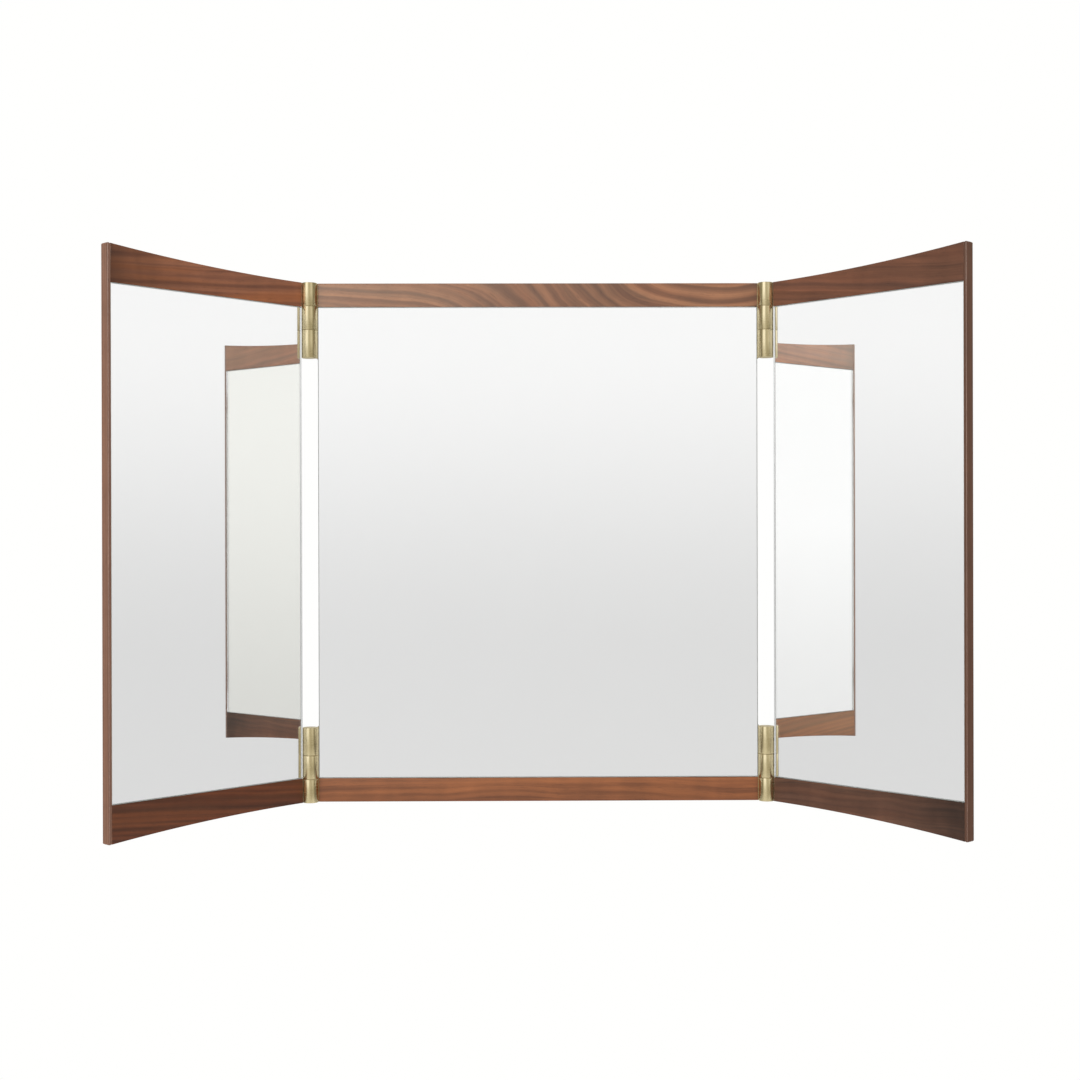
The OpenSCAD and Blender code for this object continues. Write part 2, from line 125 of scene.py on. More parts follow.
# Node helpers
def linear(red, green, blue):  # a colour as it looks on a screen, 0 to 255
    def channel(value):
        share = value / 255
        return share / 12.92 if share <= 0.04045 else ((share + 0.055) / 1.055) ** 2.4
    return (channel(red), channel(green), channel(blue), 1)


def putValue(tree, socket, value):
    if isinstance(value, bpy.types.NodeSocket):
        tree.links.new(value, socket)
    else:
        socket.default_value = value


def addNode(tree, kind, settings=None, **values):
    node = tree.nodes.new("ShaderNode" + kind)
    for name, value in (settings or {}).items():
        setattr(node, name, value)
    for name, value in values.items():
        putValue(tree, node.inputs[name.replace("_", " ")], value)
    return node


def calc(tree, operation, first, second=0.0, third=0.0):
    node = tree.nodes.new("ShaderNodeMath")
    node.operation = operation
    for socket, value in zip(node.inputs, (first, second, third)):
        putValue(tree, socket, value)
    return node.outputs[0]


def stretch(tree, vector, x, y, z):
    node = tree.nodes.new("ShaderNodeVectorMath")
    node.operation = "MULTIPLY"
    tree.links.new(vector, node.inputs[0])
    node.inputs[1].default_value = (x, y, z)
    return node.outputs[0]


def noise(tree, vector, detail=2.0, rough=0.5):
    node = addNode(tree, "TexNoise", Vector=vector, Scale=1.0, Detail=detail, Roughness=rough)
    return node.outputs["Fac"]


def lineNoise(tree, value):
    node = addNode(tree, "TexNoise", {"noise_dimensions": "1D"}, W=value, Scale=1.0)
    return node.outputs["Fac"]


def rangeOf(tree, value, low, high, toLow=0.0, toHigh=1.0, curve="LINEAR"):
    node = tree.nodes.new("ShaderNodeMapRange")
    node.interpolation_type = curve
    for socket, entry in zip(node.inputs, (value, low, high, toLow, toHigh)):
        putValue(tree, socket, entry)
    return node.outputs[0]


def layer(tree, vector, look):
    pattern = noise(tree, stretch(tree, vector, *look["scale"]), look.get("detail", 2.0),
                    look.get("rough", 0.5))
    return rangeOf(tree, pattern, *look["range"]) if "range" in look else pattern


def blendColours(tree, share, first, second, kind="MIX"):
    node = tree.nodes.new("ShaderNodeMix")
    node.data_type = "RGBA"
    node.blend_type = kind
    putValue(tree, node.inputs[0], share)
    putValue(tree, node.inputs[6], first)
    putValue(tree, node.inputs[7], second)
    return node.outputs[2]


def newGroup(name, inputs):
    tree = bpy.data.node_groups.new(name, "ShaderNodeTree")
    tree.interface.new_socket(name="Vector", in_out="INPUT", socket_type="NodeSocketVector")
    for label, value in inputs.items():
        kind = "NodeSocketColor" if isinstance(value, tuple) else "NodeSocketFloat"
        tree.interface.new_socket(name=label, in_out="INPUT", socket_type=kind).default_value = value
    tree.interface.new_socket(name="Color", in_out="OUTPUT", socket_type="NodeSocketColor")
    for label in ("Roughness", "Height"):
        tree.interface.new_socket(name=label, in_out="OUTPUT", socket_type="NodeSocketFloat")
    return tree, tree.nodes.new("NodeGroupInput").outputs, tree.nodes.new("NodeGroupOutput").inputs


# Shared effects. A layer's scale is in waves a metre along, through and across the board, and its range is
# where its noise turns into a mark.
grain = {
    "drift": {"scale": (5, 16, 16)},
    "fibre": {"scale": (7, 620, 620), "detail": 4, "rough": 0.65},
    "pores": {"scale": (95, 2300, 2300), "detail": 1, "range": (0.63, 0.7)},
    "shimmer": {"scale": (26, 9, 9), "range": (0.3, 0.7, -1, 1)},
    "mottle": {"scale": (13, 170, 170), "detail": 3, "rough": 0.6, "range": (0.3, 0.7)},
    "warmth": {"scale": (5, 70, 70), "range": (0.4, 0.66)},
    "rings": (0.34, 0.66),
    "streakLines": (42, 7.3),  # lines a metre, and where they start
    "streaks": (0.52, 0.72),
    "depthShare": 0.6,  # how fast the rings change through the board, against across it
    "bowlEdge": 20,  # how fast warmth comes in at the edge of the bowl
    "steepest": 0.03,
    "steepSpread": -0.7,  # steep lines stand wider apart
    "steepDark": -0.3,
    "fibreShare": 0.45,
    "figureShare": 0.8,
    "darker": -0.12,
    "mostFade": 0.05,  # the fade brightens no end by more than this
    "poreColour": linear(52, 33, 25),
    "roughness": (0.16, 0.36),  # what the fibre adds, and the least
    "poreRoughness": 0.2,
    "relief": (0.35, 0.6),
}


def makeWoodGrain():
    tree, given, result = newGroup("woodGrain", {
        "Figure Height": 0.01,
        "Figure Length": 0.6,
        "Figure Start": 0.0,
        "Bowl Middle": 0.25,
        "Bowl Reach": 0.37,
        "Bowl Depth": 0.0,
        "Board Middle": 0.0,
        "Wander": 0.012,
        "Lines": 110.0,
        "Light Wood": linear(150, 110, 90),
        "Dark Wood": linear(110, 75, 58),
        "Warm Wood": linear(176, 122, 84),
        "Streak": linear(80, 55, 45),
        "Warm Amount": 0.5,
        "Bowl Warmth": 0.0,
        "Streak Amount": 0.5,
        "Pore Amount": 0.6,
        "Patches": 0.06,
        "Softness": 0.0,
        "Fade Middle": 0.0,
        "Fade": 0.0,
    })
    parts = addNode(tree, "SeparateXYZ", Vector=given["Vector"]).outputs
    turn = calc(tree, "DIVIDE", calc(tree, "SUBTRACT", parts["X"], given["Figure Start"]),
                given["Figure Length"])
    wave = calc(tree, "SINE", calc(tree, "MULTIPLY", turn, 2 * math.pi))
    figure = calc(tree, "MULTIPLY", wave, given["Figure Height"])
    drift = layer(tree, given["Vector"], grain["drift"])
    warp = calc(tree, "MULTIPLY", calc(tree, "SUBTRACT", drift, 0.5), given["Wander"])
    # The bowl lifts the lines in nested arcs about one point of the board
    aside = calc(tree, "ABSOLUTE", calc(tree, "SUBTRACT", parts["X"], given["Bowl Middle"]))
    bowl = rangeOf(tree, aside, given["Bowl Reach"], 0.0, curve="SMOOTHSTEP")
    bowlHeight = calc(tree, "MULTIPLY", bowl, given["Bowl Depth"])
    inBowl = calc(tree, "MINIMUM", calc(tree, "MULTIPLY", bowlHeight, grain["bowlEdge"]), 1.0)
    steep = calc(tree, "MULTIPLY", bowlHeight, calc(tree, "SUBTRACT", 1.0, bowl))
    steepShare = rangeOf(tree, steep, 0.0, grain["steepest"], curve="SMOOTHSTEP")
    spread = calc(tree, "MULTIPLY_ADD", steepShare, grain["steepSpread"], 1.0)
    upward = calc(tree, "SUBTRACT", parts["Z"], given["Board Middle"])
    across = calc(tree, "MULTIPLY_ADD", upward, spread, bowlHeight)
    across = calc(tree, "ADD", calc(tree, "ADD", across, figure), warp)
    # Rings, streaks, fibre and pores all follow those lines
    ring = calc(tree, "MULTIPLY_ADD", parts["Y"], grain["depthShare"], across)
    ringNoise = lineNoise(tree, calc(tree, "MULTIPLY", ring, given["Lines"]))
    ringShare = rangeOf(tree, ringNoise, *grain["rings"])
    streakNoise = lineNoise(tree, calc(tree, "MULTIPLY_ADD", ring, *grain["streakLines"]))
    streakShare = rangeOf(tree, streakNoise, *grain["streaks"])
    flow = addNode(tree, "CombineXYZ", X=parts["X"], Y=parts["Y"], Z=across).outputs[0]
    fibre = layer(tree, flow, grain["fibre"])
    mottled = calc(tree, "SUBTRACT", layer(tree, flow, grain["mottle"]), ringShare)
    figured = calc(tree, "MULTIPLY_ADD", mottled, given["Softness"], ringShare)
    figured = calc(tree, "MULTIPLY", figured, grain["figureShare"])
    woodShare = calc(tree, "MULTIPLY_ADD", fibre, grain["fibreShare"], figured)
    woodShare = calc(tree, "ADD", woodShare, grain["darker"])
    woodShare = calc(tree, "MULTIPLY_ADD", steepShare, grain["steepDark"], woodShare)
    wood = blendColours(tree, woodShare, given["Dark Wood"], given["Light Wood"])
    warmShare = calc(tree, "MULTIPLY", layer(tree, flow, grain["warmth"]), given["Warm Amount"])
    warmShare = calc(tree, "MULTIPLY_ADD", inBowl, given["Bowl Warmth"], warmShare)
    wood = blendColours(tree, warmShare, wood, given["Warm Wood"])
    streaked = calc(tree, "MULTIPLY", streakShare, given["Streak Amount"])
    wood = blendColours(tree, streaked, wood, given["Streak"])
    shimmer = layer(tree, flow, grain["shimmer"])
    glow = calc(tree, "MULTIPLY_ADD", shimmer, given["Patches"], 1.0)
    along = calc(tree, "SUBTRACT", parts["X"], given["Fade Middle"])
    fade = calc(tree, "MINIMUM", calc(tree, "MULTIPLY", along, given["Fade"]), grain["mostFade"])
    glow = calc(tree, "ADD", glow, fade)
    shade = addNode(tree, "CombineColor", Red=glow, Green=glow, Blue=glow).outputs[0]
    wood = blendColours(tree, 1.0, wood, shade, "MULTIPLY")
    poreMask = calc(tree, "MULTIPLY", layer(tree, flow, grain["pores"]), given["Pore Amount"])
    putValue(tree, result["Color"], blendColours(tree, poreMask, wood, grain["poreColour"]))
    rough = calc(tree, "MULTIPLY_ADD", fibre, *grain["roughness"])
    rough = calc(tree, "MULTIPLY_ADD", poreMask, grain["poreRoughness"], rough)
    putValue(tree, result["Roughness"], rough)
    relief = calc(tree, "MULTIPLY_ADD", fibre, *grain["relief"])
    putValue(tree, result["Height"], calc(tree, "SUBTRACT", relief, poreMask))
    return tree


brushing = {
    "coarse": {"scale": (50, 50, 2600), "detail": 3, "rough": 0.7},
    "fine": {"scale": (160, 160, 9000), "rough": 0.6},
    "cloud": {"scale": (70, 70, 45), "detail": 3},
    "lineShare": 0.3,
    "shine": (0.3, 0.7),
    "wear": -0.12,
}


def makeBrushedMetal():
    tree, given, result = newGroup("brushedMetal", {
        "Bright": linear(232, 214, 164),
        "Dull": linear(205, 184, 130),
        "Roughness": 0.26,
        "Scratch Roughness": 0.1,
    })
    coarse = layer(tree, given["Vector"], brushing["coarse"])
    fine = layer(tree, given["Vector"], brushing["fine"])
    cloud = layer(tree, given["Vector"], brushing["cloud"])
    lines = calc(tree, "MULTIPLY_ADD", fine, 0.5, calc(tree, "MULTIPLY", coarse, 0.5))
    lineShare = brushing["lineShare"]
    mixed = calc(tree, "MULTIPLY_ADD", cloud, 1 - lineShare, calc(tree, "MULTIPLY", lines, lineShare))
    shine = rangeOf(tree, mixed, *brushing["shine"])
    putValue(tree, result["Color"], blendColours(tree, shine, given["Dull"], given["Bright"]))
    worn = calc(tree, "MULTIPLY", calc(tree, "SUBTRACT", cloud, 0.5), brushing["wear"])
    rough = calc(tree, "MULTIPLY_ADD", lines, given["Scratch Roughness"], given["Roughness"])
    putValue(tree, result["Roughness"], calc(tree, "ADD", rough, worn))
    putValue(tree, result["Height"], lines)
    return tree


dust = {
    "detail": 3,
    "rough": 0.6,
    "cloud": {"scale": (11, 11, 11)},
    "grainShare": 0.6,
    "range": (0.3, 0.7),
}


def makeSpeckle():
    tree, given, result = newGroup("speckle", {
        "Size": 0.002,
        "Light": linear(200, 200, 200),
        "Dark": linear(180, 180, 180),
        "Roughness": 0.5,
        "Roughness Spread": 0.1,
    })
    scale = calc(tree, "DIVIDE", 1.0, given["Size"])
    grown = addNode(tree, "VectorMath", {"operation": "SCALE"})
    tree.links.new(given["Vector"], grown.inputs[0])
    tree.links.new(scale, grown.inputs["Scale"])
    fine = noise(tree, grown.outputs[0], dust["detail"], dust["rough"])
    cloud = layer(tree, given["Vector"], dust["cloud"])
    share = dust["grainShare"]
    mixed = calc(tree, "MULTIPLY_ADD", fine, share, calc(tree, "MULTIPLY", cloud, 1 - share))
    mixed = rangeOf(tree, mixed, *dust["range"])
    putValue(tree, result["Color"], blendColours(tree, mixed, given["Dark"], given["Light"]))
    spread = calc(tree, "MULTIPLY", calc(tree, "SUBTRACT", fine, 0.5), given["Roughness Spread"])
    putValue(tree, result["Roughness"], calc(tree, "ADD", given["Roughness"], spread))
    putValue(tree, result["Height"], fine)
    return tree


woodGrain = makeWoodGrain()
brushedMetal = makeBrushedMetal()
speckle = makeSpeckle()


# Materials. A bump is a strength and a height in metres.
def makeMaterial(name, group, values, shine=None, bump=None, turn=(0, 0, 0), move=(0, 0, 0)):
    made = bpy.data.materials.new(name)
    made.use_nodes = True
    tree = made.node_tree
    shader = tree.nodes["Principled BSDF"]
    place = addNode(tree, "TexCoord").outputs["Object"]
    mapped = addNode(tree, "Mapping", Vector=place, Rotation=turn, Location=move).outputs[0]
    effect = tree.nodes.new("ShaderNodeGroup")
    effect.node_tree = group
    tree.links.new(mapped, effect.inputs["Vector"])
    for label, value in values.items():
        effect.inputs[label].default_value = value
    tree.links.new(effect.outputs["Color"], shader.inputs["Base Color"])
    if values.get("Roughness Spread") == 0:  # the same all over
        shader.inputs["Roughness"].default_value = values["Roughness"]
    else:
        tree.links.new(effect.outputs["Roughness"], shader.inputs["Roughness"])
    for label, value in (shine or {}).items():
        shader.inputs[label].default_value = value
    if bump:
        strength, distance = bump
        height = effect.outputs["Height"]
        relief = addNode(tree, "Bump", Height=height, Strength=strength, Distance=distance)
        tree.links.new(relief.outputs[0], shader.inputs["Normal"])
    return made


# What a board has where its own lines say nothing else. A bowl is the middle and reach of its arcs along
# the board, their depth and warmth. A fade is the place along the board where it starts, and its slope.
plainBoard = {
    "warmAmount": 0.5, "height": 0.002, "length": 0.9, "start": 0, "lines": 120,
    "bowl": (0, 0.37, 0, 0), "patches": 0.06, "tilt": 0, "soft": 0.3, "pores": 0.4, "fade": (0, 0),
}
walnutBoards = {
    "centreTop": {
        "light": (168, 115, 79), "dark": (88, 55, 37), "streak": (76, 48, 35), "warm": (146, 85, 50),
        "warmAmount": 0.35, "height": 0.008, "length": 0.8, "start": -0.31, "wander": 0.02, "lines": 125,
        "bowl": (0.25, 0.44, 0.13, 0.1), "patches": 0.1, "move": (0, 0, 0), "soft": 0.1, "pores": 0.3,
    },
    "centreBottom": {
        "light": (165, 98, 55), "dark": (94, 51, 27), "streak": (78, 44, 28), "warm": (168, 100, 54),
        "height": 0.004, "length": 0.5, "start": 0.1, "wander": 0.026, "patches": 0.12, "move": (3, 0, 1),
        "soft": 0.4, "pores": 0.3,
    },
    "leftTop": {
        "light": (160, 102, 70), "dark": (98, 57, 42), "streak": (70, 40, 33), "warm": (164, 96, 52),
        "warmAmount": 0.6, "wander": 0.012, "lines": 130, "patches": 0.14, "tilt": 5, "move": (5, 0, 2),
        "pores": 0.35, "fade": (-0.16, 4.5),
    },
    "leftBottom": {
        "light": (118, 61, 31), "dark": (68, 35, 17), "streak": (50, 30, 22), "warm": (112, 64, 34),
        "wander": 0.008, "lines": 170, "tilt": -5, "move": (7, 0, 3),
    },
    "rightTop": {
        "light": (142, 89, 62), "dark": (84, 52, 36), "streak": (70, 48, 40), "warm": (134, 80, 54),
        "height": 0.006, "length": 0.7, "start": 0.1, "wander": 0.024, "patches": 0.1, "tilt": -4,
        "move": (9, 0, 4), "soft": 0.35, "pores": 0.35, "fade": (0.1, -1.2),
    },
    "rightBottom": {
        "light": (118, 79, 59), "dark": (64, 44, 34), "streak": (50, 36, 31), "warm": (112, 68, 46),
        "warmAmount": 0.4, "height": 0.008, "length": 0.6, "start": 0.2, "wander": 0.03, "patches": 0.16,
        "tilt": 4, "move": (11, 0, 5), "soft": 0.4, "fade": (0.18, -6),
    },
    "leftSlip": {
        "light": (153, 112, 91), "dark": (118, 80, 62), "streak": (96, 66, 54), "warm": (150, 104, 78),
        "warmAmount": 0.3, "height": 0, "wander": 0.006, "lines": 300, "tilt": 90, "move": (13, 0, 6),
    },
    "rightSlip": {
        "light": (117, 77, 56), "dark": (88, 55, 39), "streak": (70, 48, 38), "warm": (116, 76, 54),
        "warmAmount": 0.3, "height": 0, "wander": 0.006, "lines": 300, "tilt": 90, "move": (15, 0, 7),
    },
    "batten": {
        "light": (150, 108, 84), "dark": (108, 74, 58), "streak": (84, 58, 48), "warm": (146, 98, 68),
        "warmAmount": 0.4, "height": 0.004, "length": 0.8, "wander": 0.02, "lines": 160, "tilt": 90,
        "move": (17, 0, 8), "pores": 0.6,
    },
}
walnutFinish = {"shine": {"Specular IOR Level": 0.4}, "bump": (0.35, 0.00012)}


def makeWalnut(name):
    board = plainBoard | walnutBoards[name]
    shift, _, lift = board["move"]
    bowlMiddle, bowlReach, bowlDepth, bowlWarmth = board["bowl"]
    fadeMiddle, fadeSlope = board["fade"]
    values = {
        "Light Wood": linear(*board["light"]),
        "Dark Wood": linear(*board["dark"]),
        "Streak": linear(*board["streak"]),
        "Warm Wood": linear(*board["warm"]),
        "Warm Amount": board["warmAmount"],
        "Bowl Warmth": bowlWarmth,
        "Bowl Middle": bowlMiddle + shift,
        "Bowl Reach": bowlReach,
        "Bowl Depth": bowlDepth,
        "Board Middle": (halfHeight - panel["railHeight"] / 2) * mm + lift,
        "Patches": board["patches"],
        "Softness": board["soft"],
        "Fade Middle": fadeMiddle + shift,
        "Fade": fadeSlope,
        "Pore Amount": board["pores"],
        "Figure Height": board["height"],
        "Figure Length": board["length"],
        "Figure Start": board["start"] + shift,
        "Wander": board["wander"],
        "Lines": board["lines"],
    }
    turn = (0, math.radians(board["tilt"]), 0)
    title = "walnut" + name[0].upper() + name[1:]
    return makeMaterial(title, woodGrain, values, turn=turn, move=board["move"], **walnutFinish)


walnut = {name: makeWalnut(name) for name in walnutBoards}

metal = {"Metallic": 1.0}
clear = {"Transmission Weight": 1.0, "IOR": 1.52}
brassLook = {
    "Bright": linear(219, 204, 163),
    "Dull": linear(203, 188, 147),
    "Roughness": 0.2,
    "Scratch Roughness": 0.12,
}
brassShine = metal | {"Anisotropic": 0.7}
satinBrass = makeMaterial("satinBrass", brushedMetal, brassLook, brassShine, (0.12, 0.00002))
screwBrass = makeMaterial("screwBrass", brushedMetal, brassLook, metal, (0.1, 0.00002))
steel = makeMaterial(
    "zincSteel", brushedMetal,
    {"Bright": linear(214, 216, 220), "Dull": linear(178, 180, 184), "Roughness": 0.24},
    metal, (0.1, 0.00002),
)
aluminium = makeMaterial(
    "satinAluminium", brushedMetal,
    {"Bright": linear(222, 223, 225), "Dull": linear(211, 213, 215), "Roughness": 0.3},
    metal, (0.12, 0.00002),
)
bronze = makeMaterial(
    "turnedBronze", brushedMetal,
    {"Bright": linear(204, 188, 148), "Dull": linear(184, 168, 128), "Roughness": 0.3},
    metal, (0.12, 0.00002),
)
silver = makeMaterial(
    "mirrorSilver", speckle,
    {
        "Size": 0.02, "Light": (0.962, 0.963, 0.962, 1), "Dark": (0.957, 0.958, 0.957, 1),
        "Roughness": 0.0, "Roughness Spread": 0.0,
    },
    metal,
)
backPaint = makeMaterial(
    "mirrorBackPaint", speckle,
    {"Size": 0.004, "Light": linear(122, 128, 130), "Dark": linear(108, 114, 116), "Roughness": 0.55},
    bump=(0.1, 0.0001),
)
clearGlass = makeMaterial(
    "clearGlass", speckle,
    {
        "Size": 0.05, "Light": (0.996, 0.998, 0.996, 1), "Dark": (0.992, 0.994, 0.992, 1),
        "Roughness": 0.0, "Roughness Spread": 0.0,
    },
    clear,
)
groundEdge = makeMaterial(
    "groundGlassEdge", speckle,
    {"Size": 0.0009, "Light": linear(232, 236, 231), "Dark": linear(214, 220, 214), "Roughness": 0.45},
    bump=(0.2, 0.00005),
)
frostedEnd = makeMaterial(
    "frostedGlassEnd", speckle,
    {
        "Size": 0.002, "Light": (0.93, 0.96, 0.93, 1), "Dark": (0.88, 0.92, 0.89, 1),
        "Roughness": 0.15, "Roughness Spread": 0.05,
    },
    clear,
)
blackBoard = makeMaterial(
    "blackBoard", speckle,
    {"Size": 0.0016, "Light": linear(48, 46, 45), "Dark": linear(34, 33, 32), "Roughness": 0.5},
    bump=(0.25, 0.0001),
)
foamTape = makeMaterial(
    "foamTape", speckle,
    {"Size": 0.0007, "Light": linear(240, 240, 236), "Dark": linear(214, 214, 208), "Roughness": 0.9},
    bump=(0.5, 0.0002),
)
clearRubber = makeMaterial(
    "clearRubber", speckle,
    {"Size": 0.003, "Light": linear(236, 236, 232), "Dark": linear(222, 222, 216), "Roughness": 0.35},
    {"Transmission Weight": 0.55, "IOR": 1.45},
)
print("materials made:", len(bpy.data.materials))


# Mesh helpers, all in millimetres until a piece is placed
roundSteps = 96
longestMitre = 0.4  # keeps the inset of a sharp corner from running away


def insetLoop(points, depth):
    ahead = points[1:] + points[:1]
    area = sum(x * nextY - nextX * y for (x, y), (nextX, nextY) in zip(points, ahead))
    turn = 1 if area > 0 else -1
    moved = []
    for i, point in enumerate(points):
        here = Vector(point)
        before = (here - Vector(points[i - 1])).normalized()
        after = (Vector(ahead[i]) - here).normalized()
        inBefore = Vector((-before.y, before.x)) * turn
        inAfter = Vector((-after.y, after.x)) * turn
        mitre = (inBefore + inAfter) / max(longestMitre, 1 + inBefore.dot(inAfter))
        moved.append(here + mitre * depth)
    return moved


def cornerArc(x, y, radius, start, steps):
    turns = [math.radians(start + 90 * step / steps) for step in range(steps + 1)]
    return [(x + radius * math.cos(turn), y + radius * math.sin(turn)) for turn in turns]


def roundedOutline(lowX, lowY, highX, highY, radius, steps):
    return (
        cornerArc(highX - radius, highY - radius, radius, 0, steps)
        + cornerArc(lowX + radius, highY - radius, radius, 90, steps)
        + cornerArc(lowX + radius, lowY + radius, radius, 180, steps)
        + cornerArc(highX - radius, lowY + radius, radius, 270, steps)
    )


def joinRings(rings):
    made = bmesh.new()
    rows = [[made.verts.new(point) for point in ring] for ring in rings]
    for first, second in zip(rows, rows[1:]):
        count = len(first)
        for i in range(count):
            j = (i + 1) % count
            made.faces.new((first[i], first[j], second[j], second[i]))
    made.faces.new(rows[0])
    made.faces.new(rows[-1])
    bmesh.ops.recalc_face_normals(made, faces=made.faces)
    return made


def sweepX(outlineAt, stations, chamfer):
    rings = [[(stations[0], y, z) for y, z in insetLoop(outlineAt(stations[0]), chamfer)]]
    inner = [stations[0] + chamfer] + stations[1:-1] + [stations[-1] - chamfer]
    for x in inner:
        rings.append([(x, y, z) for y, z in outlineAt(x)])
    rings.append([(stations[-1], y, z) for y, z in insetLoop(outlineAt(stations[-1]), chamfer)])
    return joinRings(rings)


def sweepZ(outline, low, high, chamfer):
    small = insetLoop(outline, chamfer)
    rings = [
        [(x, y, low) for x, y in small],
        [(x, y, low + chamfer) for x, y in outline],
        [(x, y, high - chamfer) for x, y in outline],
        [(x, y, high) for x, y in small],
    ]
    return joinRings(rings)


def turnZ(outline, steps=roundSteps):
    made = bmesh.new()
    rows = []
    turns = [2 * math.pi * step / steps for step in range(steps)]
    for radius, z in outline:
        if radius == 0:  # one point on the axis
            rows.append([made.verts.new((0, 0, z))] * steps)
        else:
            rows.append([made.verts.new((radius * math.cos(t), radius * math.sin(t), z)) for t in turns])
    closed = outline[0][0] != 0
    pairs = list(zip(rows, rows[1:])) + ([(rows[-1], rows[0])] if closed else [])
    for first, second in pairs:
        for i in range(steps):
            j = (i + 1) % steps
            corners = list(dict.fromkeys([first[i], first[j], second[j], second[i]]))
            if len(corners) > 2:
                made.faces.new(corners)
    bmesh.ops.recalc_face_normals(made, faces=made.faces)
    return made


def looseObject(made, name="shape"):
    mesh = bpy.data.meshes.new(name)
    made.to_mesh(mesh)
    made.free()
    shape = bpy.data.objects.new(name, mesh)
    bpy.context.scene.collection.objects.link(shape)
    return shape


def combine(shape, tool, operation):
    cut = shape.modifiers.new("cut", "BOOLEAN")
    cut.operation = operation
    cut.solver = "EXACT"
    cut.object = tool
    graph = bpy.context.evaluated_depsgraph_get()
    graph.update()
    mesh = bpy.data.meshes.new_from_object(shape.evaluated_get(graph))
    shape.modifiers.clear()
    shape.data = mesh
    bpy.data.objects.remove(tool)


def shapeMesh(shape):
    made = bmesh.new()
    made.from_mesh(shape.data)
    bpy.data.objects.remove(shape)
    return made


def flipped(made, side, end=up):
    copy = made.copy()
    copy.transform(Matrix.Diagonal((side, 1, end, 1)))
    copy.normal_update()
    if copy.calc_volume(signed=True) < 0:  # a mirrored mesh is inside out
        bmesh.ops.reverse_faces(copy, faces=copy.faces)
    return copy


woodenPieces = []


# choose picks a material by a face's normal, and a straight piece has its turn in its mesh
def addPiece(name, made, place, body, node, slotName, materials, choose=None, crease=32, straight=False):
    made.transform(Matrix.Scale(mm, 4))
    if straight:
        made.transform(place.to_3x3().to_4x4())
        place = Matrix.Translation(place.translation)
    mesh = bpy.data.meshes.new(name)
    made.to_mesh(mesh)
    made.free()
    for face in mesh.polygons:
        face.use_smooth = True
        if choose:
            face.material_index = choose(face.normal)
    mesh.set_sharp_from_angle(angle=math.radians(crease))
    for material in materials:
        mesh.materials.append(material)
    piece = bpy.data.objects.new(name, mesh)
    bpy.context.scene.collection.objects.link(piece)
    if slotName.startswith("walnut"):
        woodenPieces.append(piece)
    piece.matrix_world = place
    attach(piece, body)
    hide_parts(node)
    return piece


def wingBody(side):
    return sideNames[side] + "_wing"


# Wooden rails and slips
rail = {
    "arris": 1.0,
    "wingArris": 0.6,
    "softEdge": 0.35,
    "endEdge": 0.25,
    "groove": (8.05, 12.25),
    "grooveDepth": 8.1,
    "stations": 56,
    "arrisSteps": 5,
    "softSteps": 3,
}
slip = {
    "arris": 1.2,
    "softEdge": 0.3,
    "endEdge": 0.9,
    "arrisSteps": 6,
    "softSteps": 3,
}


def railOutline(inner, outer, arris):
    soft = rail["softEdge"]
    grooveLow, grooveHigh = rail["groove"]
    grooveTop = inner + rail["grooveDepth"]
    deep = panel["thickness"]
    softSteps, arrisSteps = rail["softSteps"], rail["arrisSteps"]
    return (
        cornerArc(soft, inner + soft, soft, 270, softSteps)[::-1]
        + cornerArc(arris, outer - arris, arris, 90, arrisSteps)[::-1]
        + cornerArc(deep - arris, outer - arris, arris, 0, arrisSteps)[::-1]
        + cornerArc(deep - soft, inner + soft, soft, 270, softSteps)[::-1]
        + [(grooveHigh, inner), (grooveHigh, grooveTop), (grooveLow, grooveTop), (grooveLow, inner)]
    )


def makeCentreRail(end):
    outline = railOutline(halfHeight - panel["railHeight"], halfHeight, rail["arris"])
    ends = [-panel["width"] / 2, panel["width"] / 2]
    made = flipped(sweepX(lambda x: outline, ends, rail["endEdge"]), right, end)
    title = "centreTop" if end == up else "centreBottom"
    addPiece(title + "Rail", made, centrePlace, "centre_panel", "centre_" + railNames[end], "walnut",
             [walnut[title]])


def makeWingRail(side, end):
    inner = halfHeight - wing["railHeight"]

    def outlineAt(x):
        outline = railOutline(inner, flareHeight(x), rail["wingArris"])
        return [(y + wing["axisFront"], z) for y, z in outline]

    count = rail["stations"]
    run = wing["slipX"] - wing["edgeX"]
    stations = [wing["edgeX"] + run * i / count for i in range(count + 1)]
    made = flipped(sweepX(outlineAt, stations, rail["endEdge"]), side, end)
    heightName = "Top" if end == up else "Bottom"
    title = sideNames[side] + "Wing" + heightName + "Rail"
    addPiece(title, made, wingPlace(side), wingBody(side), wingBody(side) + "_" + railNames[end], "walnut",
             [walnut[sideNames[side] + heightName]])


def towards(middle, value, step):
    return value + math.copysign(min(step, abs(middle - value)), middle - value)


